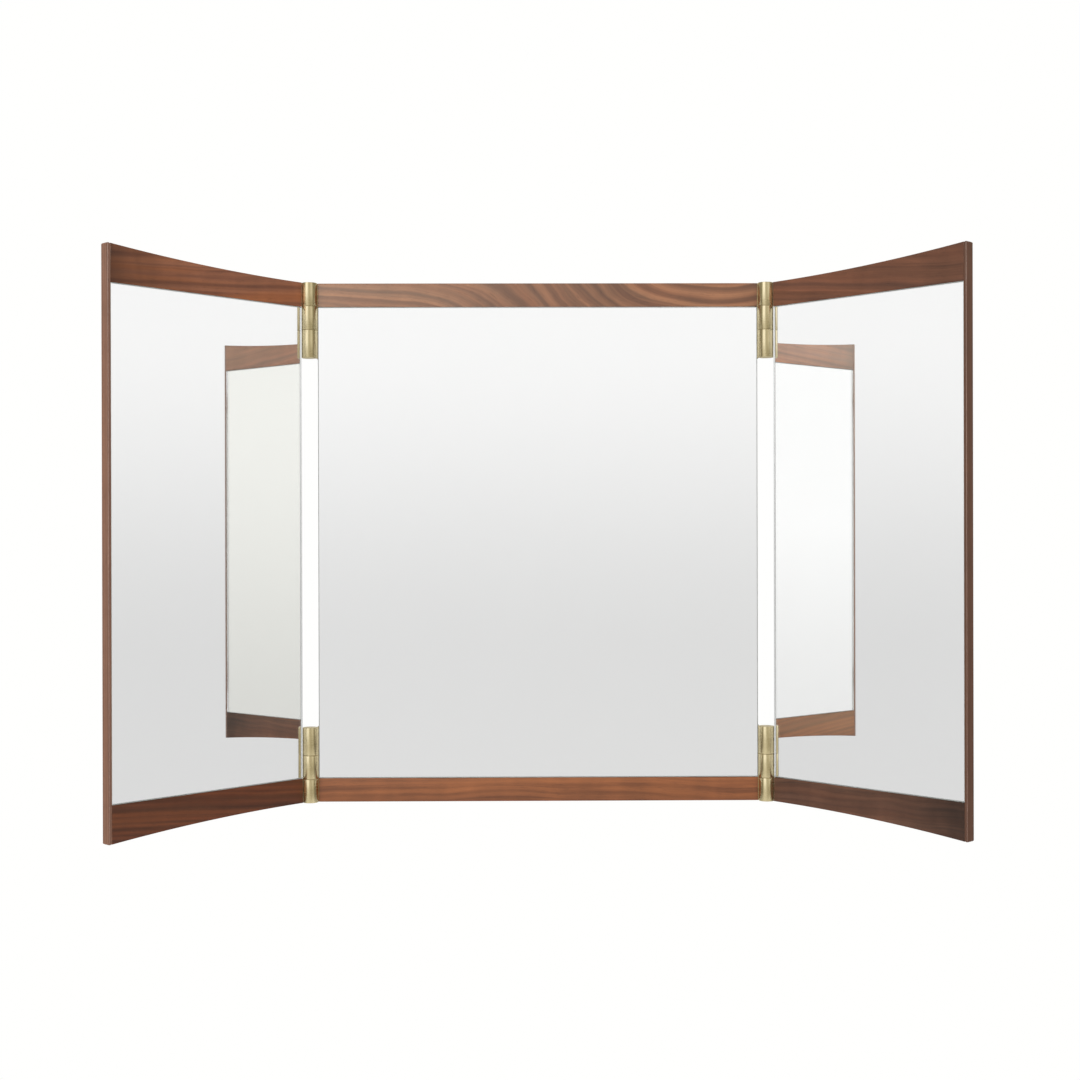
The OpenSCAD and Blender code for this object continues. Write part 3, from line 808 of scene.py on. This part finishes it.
def makeSlip(side):
    inside, outside = wing["slipX"], wing["reach"]
    front = wing["axisFront"]
    back = front + panel["thickness"]
    arris, soft, cut = slip["arris"], slip["softEdge"], slip["endEdge"]
    outline = (
        cornerArc(outside - arris, back - arris, arris, 0, slip["arrisSteps"])
        + cornerArc(inside + soft, back - soft, soft, 90, slip["softSteps"])
        + cornerArc(inside + soft, front + soft, soft, 180, slip["softSteps"])
        + cornerArc(outside - arris, front + arris, arris, 270, slip["arrisSteps"])
    )
    middleX, middleY = (inside + outside) / 2, (front + back) / 2
    shoulder = [(x, y, flareHeight(x) - cut) for x, y in outline]
    top = [(towards(middleX, x, cut), towards(middleY, y, cut), flareHeight(x)) for x, y in outline]
    rings = [[(x, y, -z) for x, y, z in top], [(x, y, -z) for x, y, z in shoulder], shoulder, top]
    addPiece(sideNames[side] + "WingSlip", flipped(joinRings(rings), side), wingPlace(side), wingBody(side),
             wingBody(side) + "_slip", "walnut_slip", [walnut[sideNames[side] + "Slip"]], straight=True)


for end in (up, down):
    makeCentreRail(end)
    for side in (left, right):
        makeWingRail(side, end)
for side in (left, right):
    makeSlip(side)
print("walnut rails and slips made")


# Mirrors: a clear plate with ground seams and frosted ends, its silver and back paint behind
plate = {
    "front": 0.3,
    "back": 4.22,
    "seam": 0.35,
    "silverFront": 4.15,
    "silverBack": 4.3,
    "silverInset": 0.15,
    "silverEdge": 0.01,
    "gap": 0.3,
    "square": 0.99,  # a face is square to an axis when its normal is past this along it
    "crease": 10,
}
# What the mirrors and boards of a panel share
centreHalf = panel["width"] / 2
centreStand = {
    "place": centrePlace, "body": "centre_panel", "offset": 0,
    "inner": halfHeight - panel["railHeight"],
}
wingStands = {
    side: {
        "place": wingPlace(side), "body": wingBody(side), "offset": wing["axisFront"],
        "inner": halfHeight - wing["railHeight"],
    }
    for side in (left, right)
}


def makeMirror(title, lowX, highX, stand, node, side):
    high = stand["inner"] - plate["gap"]
    seam, inset = plate["seam"], plate["silverInset"]
    front, back = plate["front"] + stand["offset"], plate["back"] + stand["offset"]
    glass = [
        (front, seam - high), (front, high - seam), (front + seam, high),
        (back - seam, high), (back, high - seam), (back, seam - high),
        (back - seam, -high), (front + seam, -high),
    ]
    edge = high - inset
    front, back = plate["silverFront"] + stand["offset"], plate["silverBack"] + stand["offset"]
    film = [(front, -edge), (front, edge), (back, edge), (back, -edge)]

    def glassLook(normal):
        if abs(normal.x) > plate["square"]:
            return 2
        return 0 if max(abs(normal.y), abs(normal.z)) > plate["square"] else 1

    def filmLook(normal):
        return 0 if normal.y < -plate["square"] else 1

    made = flipped(sweepX(lambda x: glass, [lowX, highX], seam), side)
    addPiece(title + "Glass", made, stand["place"], stand["body"], node, "mirror_glass",
             [clearGlass, groundEdge, frostedEnd], glassLook, plate["crease"])
    made = flipped(sweepX(lambda x: film, [lowX + inset, highX - inset], plate["silverEdge"]), side)
    addPiece(title + "Silver", made, stand["place"], stand["body"], node, "mirror_glass",
             [silver, backPaint], filmLook, plate["crease"])


makeMirror("centre", -centreHalf, centreHalf, centreStand, "centre_glass", right)
for side, stand in wingStands.items():
    makeMirror(sideNames[side] + "Wing", wing["edgeX"], wing["slipX"] - plate["gap"], stand,
               stand["body"] + "_glass", side)
print("mirrors made")


# Boards and battens behind the mirrors
backing = {
    "front": 5.3,
    "tongue": (8.15, 12.15),
    "tongueLength": 8,
    "battenWidth": 22,
    "edge": 0.3,
}


def makeBacking(title, lowX, highX, stand, node, side, slotName="black_board", look=blackBoard):
    front, back = backing["front"], panel["thickness"]
    tongueFront, tongueBack = backing["tongue"]
    inner = stand["inner"]
    far = inner + backing["tongueLength"]
    outline = [
        (front, -inner), (tongueFront, -inner), (tongueFront, -far), (tongueBack, -far),
        (tongueBack, -inner), (back, -inner), (back, inner), (tongueBack, inner),
        (tongueBack, far), (tongueFront, far), (tongueFront, inner), (front, inner),
    ]
    moved = [(y + stand["offset"], z) for y, z in outline]
    made = flipped(sweepX(lambda x: moved, [lowX, highX], backing["edge"]), side)
    addPiece(title, made, stand["place"], stand["body"], node, slotName, [look])


def makeBatten(title, lowX, stand, node, side):
    makeBacking(title, lowX, lowX + backing["battenWidth"], stand, node, side, "walnut", walnut["batten"])


boardEnd = centreHalf - backing["battenWidth"]
makeBacking("centreBoard", -boardEnd, boardEnd, centreStand, "centre_board", right)
for side, stand in wingStands.items():
    sideName = sideNames[side]
    makeBatten("centre" + sideName.title() + "Batten", boardEnd, centreStand,
               "centre_" + sideName + "_batten", side)
    makeBacking(sideName + "WingBoard", wing["edgeX"] + backing["battenWidth"], wing["slipX"], stand,
                stand["body"] + "_board", side)
    makeBatten(sideName + "WingBatten", wing["edgeX"], stand, stand["body"] + "_batten", side)
print("boards and battens made")


# Hinges, drawn about their axis
knuckles = (32, 32.5, 37.5)  # heights from the panel's edge inwards
hinge = {
    "radius": 10.8,
    "room": wing["edgeX"],  # the leaf's outer face, and the hollow round a knuckle
    "chamfer": 0.8,
    "seamChamfer": 0.2,
    "ease": 0.3,  # where the middle point of a chamfer lies
    "outerSeam": halfHeight - knuckles[0],
    "innerSeam": halfHeight - sum(knuckles[:2]),
    "innerEnd": halfHeight - sum(knuckles),
    "halfWasher": 0.4,
    "washerEdge": 0.15,
    "play": 0.1,
    "pinRadius": 4,
    "pinGap": 0.05,
    "pinTip": 0.8,
    "headRadius": 6.5,
    "headThick": 2.5,
    "headBase": 0.15,
    "headCrown": 0.4,
    "socket": 4,
    "socketDepth": 4,
    "mouth": (0.35, 0.1),  # how deep the socket's countersink goes, and how far it is cut above the head
    "mouthWidth": (0.86, 0.2),  # its foot as a share of the socket, and its lip beyond the socket
    "floor": 6.1,
    "leafThick": 2.5,
    "leafFront": 4,
    "leafRear": 16.5,
    "leafEdge": 0.25,
    "leafSteps": 3,
    "screwRadius": 1.65,
    "screwHead": 3.25,
    "screwCut": (6, 2),  # how far a screw's cut goes below and above the leaf
    "screwSteps": 48,
    "boreSteps": 64,
    "overcut": 5,
}


def knuckleMesh(low, high):
    radius = hinge["radius"]
    lowCut = hinge["chamfer"] if low == hinge["innerEnd"] else hinge["seamChamfer"]
    highCut = hinge["chamfer"] if high == halfHeight else hinge["seamChamfer"]
    lowEase, highEase = lowCut * hinge["ease"], highCut * hinge["ease"]
    return turnZ([
        (0, low), (radius - lowCut, low), (radius - lowEase, low + lowEase), (radius, low + lowCut),
        (radius, high - highCut), (radius - highEase, high - highEase), (radius - highCut, high), (0, high),
    ])


def cylinderTool(radius, low, high, steps=roundSteps):
    return looseObject(turnZ([(0, low), (radius, low), (radius, high), (0, high)], steps))


def cutPinBore(shape):
    gap = hinge["pinGap"]
    pinLow = hinge["innerEnd"] + hinge["floor"] - hinge["play"]
    headLow = halfHeight - hinge["headThick"] - gap
    top = halfHeight + hinge["overcut"]
    for radius, low in ((hinge["pinRadius"], pinLow), (hinge["headRadius"], headLow)):
        combine(shape, cylinderTool(radius + gap, low, top, hinge["boreSteps"]), "DIFFERENCE")


def leafPlate():
    outline = roundedOutline(hinge["room"] - hinge["leafThick"], hinge["leafFront"], hinge["room"],
                             hinge["leafRear"], hinge["leafEdge"], hinge["leafSteps"])
    return looseObject(sweepZ(outline, hinge["innerEnd"], halfHeight, hinge["leafEdge"]))


def cutScrewHoles(shape):
    inner = hinge["room"] - hinge["leafThick"]
    clear = math.sqrt(hinge["room"] ** 2 - inner ** 2)
    y = (clear + hinge["leafRear"]) / 2
    head, shank = hinge["screwHead"], hinge["screwRadius"]
    deep, above = hinge["screwCut"]
    outline = [(0, -deep), (shank, -deep), (shank, shank - head), (head, 0), (head, above), (0, above)]
    seams = [halfHeight, hinge["outerSeam"], hinge["innerSeam"], hinge["innerEnd"]]
    for high, low in zip(seams, seams[1:]):
        made = turnZ(outline, hinge["screwSteps"])
        place = Matrix.Translation((inner, y, (high + low) / 2))
        made.transform(place @ Matrix.Rotation(math.radians(-90), 4, "Y"))
        combine(shape, looseObject(made), "DIFFERENCE")


def fixedLeafMesh():
    shape = leafPlate()
    half = hinge["halfWasher"]
    combine(shape, cylinderTool(hinge["room"], hinge["innerSeam"] - half, hinge["outerSeam"] + half),
            "DIFFERENCE")
    combine(shape, looseObject(knuckleMesh(hinge["outerSeam"] + half, halfHeight)), "UNION")
    combine(shape, looseObject(knuckleMesh(hinge["innerEnd"], hinge["innerSeam"] - half)), "UNION")
    cutPinBore(shape)
    cutScrewHoles(shape)
    return shapeMesh(shape)


def wingLeafMesh():
    shape = leafPlate()
    low = hinge["innerSeam"] + hinge["halfWasher"] + hinge["play"]
    high = hinge["outerSeam"] - hinge["halfWasher"] - hinge["play"]
    combine(shape, cylinderTool(hinge["room"], high, halfHeight + hinge["overcut"]), "DIFFERENCE")
    combine(shape, cylinderTool(hinge["room"], hinge["innerEnd"] - hinge["overcut"], low), "DIFFERENCE")
    combine(shape, looseObject(knuckleMesh(low, high)), "UNION")
    cutPinBore(shape)
    cutScrewHoles(shape)
    return shapeMesh(shape)


def pinMesh():
    low, top = hinge["innerEnd"] + hinge["floor"], halfHeight
    headLow = top - hinge["headThick"]
    pin, head = hinge["pinRadius"], hinge["headRadius"]
    tip, base, crown = hinge["pinTip"], hinge["headBase"], hinge["headCrown"]
    ease = crown * hinge["ease"]
    shape = looseObject(turnZ([
        (0, low), (pin - tip, low), (pin, low + tip), (pin, headLow), (head - base, headLow),
        (head, headLow + base), (head, top - crown), (head - ease, top - ease), (head - crown, top),
        (0, top),
    ]))
    corner = hinge["socket"] / math.sqrt(3)
    hexagon = cylinderTool(corner, top - hinge["socketDepth"], top + hinge["overcut"], 6)
    combine(shape, hexagon, "DIFFERENCE")
    deep, above = hinge["mouth"]
    foot, lip = hinge["mouthWidth"]
    mouth = [(0, top - deep), (corner * foot, top - deep), (corner + lip, top + above), (0, top + above)]
    combine(shape, looseObject(turnZ(mouth, hinge["screwSteps"])), "DIFFERENCE")
    return shapeMesh(shape)


def washerMesh():
    both = bmesh.new()
    edge = hinge["washerEdge"]
    outer = hinge["radius"] - hinge["seamChamfer"]
    bore = hinge["pinRadius"] + hinge["pinGap"]
    for seam in (hinge["outerSeam"], hinge["innerSeam"]):
        low, high = seam - hinge["halfWasher"], seam + hinge["halfWasher"]
        ring = turnZ([
            (bore, low), (outer - edge, low), (outer, low + edge), (outer, high - edge),
            (outer - edge, high), (bore, high),
        ])
        mesh = bpy.data.meshes.new("washer")
        ring.to_mesh(mesh)
        ring.free()
        both.from_mesh(mesh)
    return both


# Which way the brass is brushed, as a UV layer that its tangents follow
brush = {
    "layer": "brushing",
    "scale": 50,
    "flatFrom": 0.7,
}


def brushDirections(piece):
    mesh = piece.data
    layer = mesh.uv_layers.new(name=brush["layer"])
    for face in mesh.polygons:
        middle = math.atan2(face.center.y, face.center.x)
        flat = abs(face.normal.z) > brush["flatFrom"]
        turned = math.hypot(face.center.x, face.center.y) < hinge["room"] * mm
        for loop in face.loop_indices:
            spot = mesh.vertices[mesh.loops[loop].vertex_index].co
            turn = math.atan2(spot.y, spot.x) - middle
            around = (middle + math.remainder(turn, 2 * math.pi)) * hinge["radius"] * mm
            if flat:
                place = (math.hypot(spot.x, spot.y), around)
            elif turned:
                place = (spot.z, around)
            else:
                place = (spot.z, spot.x + spot.y)
            layer.data[loop].uv = (place[0] * brush["scale"], place[1] * brush["scale"])


def brushAlong(look):
    tree = look.node_tree
    tangent = addNode(tree, "Tangent", {"direction_type": "UV_MAP", "uv_map": brush["layer"]})
    tree.links.new(tangent.outputs[0], tree.nodes["Principled BSDF"].inputs["Tangent"])


def makeHinges():
    fixedLeaf, wingLeaf, pin, washers = fixedLeafMesh(), wingLeafMesh(), pinMesh(), washerMesh()
    for side in (left, right):
        for end in (up, down):
            name = sideNames[side] + endNames[end].title()
            node = sideNames[side] + "_" + endNames[end] + "_"
            wingNode = wingBody(side) + "_" + endNames[end] + "_leaf"
            place = axisPlace(side)
            piece = addPiece(name + "FixedLeaf", flipped(fixedLeaf, -side, end), place, "centre_panel",
                             node + "fixed_leaf", "satin_brass", [satinBrass])
            brushDirections(piece)
            piece = addPiece(name + "Pin", flipped(pin, side, end), place, "centre_panel",
                             node + "pin", "satin_brass", [satinBrass])
            brushDirections(piece)
            addPiece(name + "Washers", flipped(washers, side, end), place, "centre_panel",
                     node + "washers", "bronze_washers", [bronze])
            piece = addPiece(name + "WingLeaf", flipped(wingLeaf, side, end), wingPlace(side),
                             wingBody(side), wingNode, "satin_brass", [satinBrass])
            brushDirections(piece)


makeHinges()
brushAlong(satinBrass)
print("hinges made")


# The nodes kept as packed, with their finishes
keptFinishes = {
    "fixed_leaf_screws": screwBrass,
    "left_wing_leaf_screws": screwBrass,
    "right_wing_leaf_screws": screwBrass,
    "panel_cleat": aluminium,
    "wall_cleat": aluminium,
    "panel_cleat_screws": steel,
    "wall_bumpers": clearRubber,
    "centre_glass_tape": foamTape,
    "left_wing_glass_tape": foamTape,
    "right_wing_glass_tape": foamTape,
}
for node, look in keptFinishes.items():
    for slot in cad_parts[node].material_slots:
        slot.material = look
print("kept nodes finished:", len(keptFinishes))


# Studio: white for the camera, a soft fall of grey for the mirrors, a banded room for all that shines.
# Heights are the Z of a ray's direction, and angles are degrees from straight ahead to the right.
studio = {
    "white": (1, 1, 0.99, 1),
    "sky": (0.75, 1.1),
    "ambient": 0.9,
    "floorBelow": 1.5,
    "floorHalf": 2.2,
    "floorColour": (0.9, 0.9, 0.89, 1),
    "floorRoughness": 0.9,
    "floorGloss": 0.1,
    "floorGlow": 0.8,  # how much of the floor the camera sees as plain white
}
mirrorRoom = {
    "heights": (-0.08, 0.14),  # where the wall turns into the ceiling
    "levels": (0.765, 1.0),
    "deep": (-0.18, -0.6),  # where the floor grows paler
    "floorLift": 0.14,
    "secondDepth": 3,  # a ray seen in two mirrors has been through glass more often than this
    "secondLift": 0.055,
    "secondTint": (1.0, 1.0, 0.96, 1),
    "windowGain": 1.2,
    "windowLimit": 1.12,
}
metalRoom = {
    "frontEdge": (50, 68),
    "backEdge": (112, 140),
    "back": 0.35,
    "heights": (-0.07, 0.1),  # where the low band turns into the high one
    "high": {"side": 0.34, "front": 0.34, "lobes": [(-32, 32, 1.05), (38, 24, 0.26)]},
    "low": {"side": 0.2, "front": 0.27, "lobes": [(-24, 44, 0.38)]},
    "warm": (0.45, (1.0, 0.95, 0.78)),
    "cool": (1.3, (1.0, 1.03, 1.14)),
}


def tinted(tree, level, tint):
    red, green, blue = [calc(tree, "MULTIPLY", level, share) for share in tint]
    return addNode(tree, "CombineColor", Red=red, Green=green, Blue=blue).outputs[0]


def mirrorLight(tree, height, angle, depth):
    room = mirrorRoom
    second = calc(tree, "GREATER_THAN", depth, room["secondDepth"])
    lifted = calc(tree, "MULTIPLY_ADD", second, room["secondLift"], height)
    level = rangeOf(tree, lifted, *room["heights"], *room["levels"], "SMOOTHSTEP")
    deep = rangeOf(tree, height, *room["deep"], curve="SMOOTHSTEP")
    level = calc(tree, "MULTIPLY_ADD", deep, room["floorLift"], level)
    window = calc(tree, "MULTIPLY", second, calc(tree, "LESS_THAN", angle, 0.0))
    gain = calc(tree, "MULTIPLY_ADD", window, room["windowGain"] - 1, 1.0)
    bright = calc(tree, "MINIMUM", calc(tree, "MULTIPLY", level, gain), room["windowLimit"])
    seen = tinted(tree, bright, (1, 1, 1))
    greenish = blendColours(tree, 1.0, seen, room["secondTint"], "MULTIPLY")
    return blendColours(tree, calc(tree, "SUBTRACT", second, window), seen, greenish)


def metalLevel(tree, angle, front, back, band):
    level = calc(tree, "MULTIPLY_ADD", front, band["front"], band["side"])
    level = calc(tree, "MULTIPLY_ADD", back, metalRoom["back"], level)
    for middle, half, gain in band["lobes"]:
        away = calc(tree, "ABSOLUTE", calc(tree, "SUBTRACT", angle, middle))
        lobe = rangeOf(tree, away, half, 0.0, curve="SMOOTHSTEP")
        level = calc(tree, "MULTIPLY_ADD", lobe, gain, level)
    return level


def metalLight(tree, height, angle):
    room = metalRoom
    aside = calc(tree, "ABSOLUTE", angle)
    frontLow, frontHigh = room["frontEdge"]
    front = rangeOf(tree, aside, frontHigh, frontLow, curve="SMOOTHSTEP")
    back = rangeOf(tree, aside, *room["backEdge"], curve="SMOOTHSTEP")
    high = metalLevel(tree, angle, front, back, room["high"])
    low = metalLevel(tree, angle, front, back, room["low"])
    share = rangeOf(tree, height, *room["heights"])
    level = calc(tree, "MULTIPLY_ADD", calc(tree, "SUBTRACT", high, low), share, low)
    warmLevel, warm = room["warm"]
    coolLevel, cool = room["cool"]
    coolness = rangeOf(tree, level, warmLevel, coolLevel)
    return blendColours(tree, coolness, tinted(tree, level, warm), tinted(tree, level, cool))


def makeWorld():
    world = bpy.data.worlds.new("studio")
    bpy.context.scene.world = world
    world.use_nodes = True
    tree = world.node_tree
    tree.nodes.clear()
    parts = addNode(tree, "SeparateXYZ", Vector=addNode(tree, "TexCoord").outputs["Generated"]).outputs
    height = parts["Z"]
    turn = calc(tree, "ARCTAN2", parts["X"], calc(tree, "MULTIPLY", parts["Y"], -1.0))
    angle = calc(tree, "MULTIPLY", turn, 180 / math.pi)
    rays = addNode(tree, "LightPath").outputs
    sky = rangeOf(tree, height, -1.0, 1.0, *studio["sky"])
    shown = tinted(tree, calc(tree, "MULTIPLY", sky, studio["ambient"]), (1, 1, 1))
    shown = blendColours(tree, rays["Is Glossy Ray"], shown, metalLight(tree, height, angle))
    shown = blendColours(tree, rays["Is Transmission Ray"], shown,
                         mirrorLight(tree, height, angle, rays["Transmission Depth"]))
    shown = blendColours(tree, rays["Is Camera Ray"], shown, studio["white"])
    back = addNode(tree, "Background", Color=shown, Strength=1.0)
    out = addNode(tree, "OutputWorld")
    tree.links.new(back.outputs[0], out.inputs["Surface"])


def makeFloor():
    half = studio["floorHalf"]
    height = panel["middleZ"] * mm - studio["floorBelow"]
    mesh = bpy.data.meshes.new("floor")
    corners = [(-half, -half, height), (half, -half, height), (half, half, height), (-half, half, height)]
    mesh.from_pydata(corners, [], [(0, 1, 2, 3)])
    floor = bpy.data.objects.new("floor", mesh)
    bpy.context.scene.collection.objects.link(floor)
    look = bpy.data.materials.new("paleFloor")
    look.use_nodes = True
    tree = look.node_tree
    shader = tree.nodes["Principled BSDF"]
    shader.inputs["Base Color"].default_value = studio["floorColour"]
    shader.inputs["Roughness"].default_value = studio["floorRoughness"]
    shader.inputs["Specular IOR Level"].default_value = studio["floorGloss"]
    glow = addNode(tree, "Emission", Color=studio["white"], Strength=1.0)
    rays = addNode(tree, "LightPath").outputs
    share = calc(tree, "MULTIPLY", rays["Is Camera Ray"], studio["floorGlow"])
    blend = addNode(tree, "MixShader")
    tree.links.new(share, blend.inputs[0])
    tree.links.new(shader.outputs[0], blend.inputs[1])
    tree.links.new(glow.outputs[0], blend.inputs[2])
    tree.links.new(blend.outputs[0], tree.nodes["Material Output"].inputs[0])
    mesh.materials.append(look)


# Softboxes light the object. Sheens light only the gloss of the walnut pieces whose names hold "on".
softboxes = {
    "leftSoftbox": {"place": (-1.7, -2.2, 0.9), "size": (1.1, 1.7), "power": 16},
    "rightSoftbox": {"place": (1.9, -1.9, 0.7), "size": (0.7, 1.4), "power": 8},
}
sheens = {
    "highWindow": {
        "place": (-1.1, -3.2, 0.85), "size": (1.6, 1.9), "power": 95, "tint": (1, 0.96, 0.82), "on": "",
    },
    "rightPane": {
        "place": (1.25, -3.1, 0.6), "size": (0.8, 0.8), "power": 32, "tint": (1, 0.77, 0.56),
        "on": "rightWingTop",
    },
    "lowPane": {
        "place": (-0.6, -3.2, -1.0), "size": (0.7, 0.8), "power": 33, "tint": (1, 0.63, 0.35),
        "on": "leftWingBottom",
    },
    "widePane": {
        "place": (0.35, -3.2, -0.25), "size": (1.2, 2.0), "power": 60, "tint": (0.95, 1, 1), "on": "Slip",
    },
}


def makeSoftbox(name, box):
    data = bpy.data.lights.new(name, "AREA")
    data.shape = "RECTANGLE"
    data.size, data.size_y = box["size"]
    data.energy = box["power"]
    lamp = bpy.data.objects.new(name, data)
    target = Vector((0, panel["faceY"] * mm, panel["middleZ"] * mm))
    place = Vector(box["place"])
    turn = (target - place).to_track_quat("-Z", "Y")
    lamp.matrix_world = Matrix.Translation(place) @ turn.to_matrix().to_4x4()
    lamp.visible_glossy = False
    lamp.visible_transmission = False
    bpy.context.scene.collection.objects.link(lamp)
    return lamp


def makeSheen(name, box):
    lamp = makeSoftbox(name, box)
    lamp.data.color = box["tint"]
    lamp.visible_glossy = True
    lamp.visible_diffuse = False
    lit = bpy.data.collections.new(name + "Pieces")
    for piece in woodenPieces:
        if box["on"] in piece.name:
            lit.objects.link(piece)
    lamp.light_linking.receiver_collection = lit


makeWorld()
makeFloor()
for name, box in softboxes.items():
    makeSoftbox(name, box)
for name, box in sheens.items():
    makeSheen(name, box)
print("studio made")
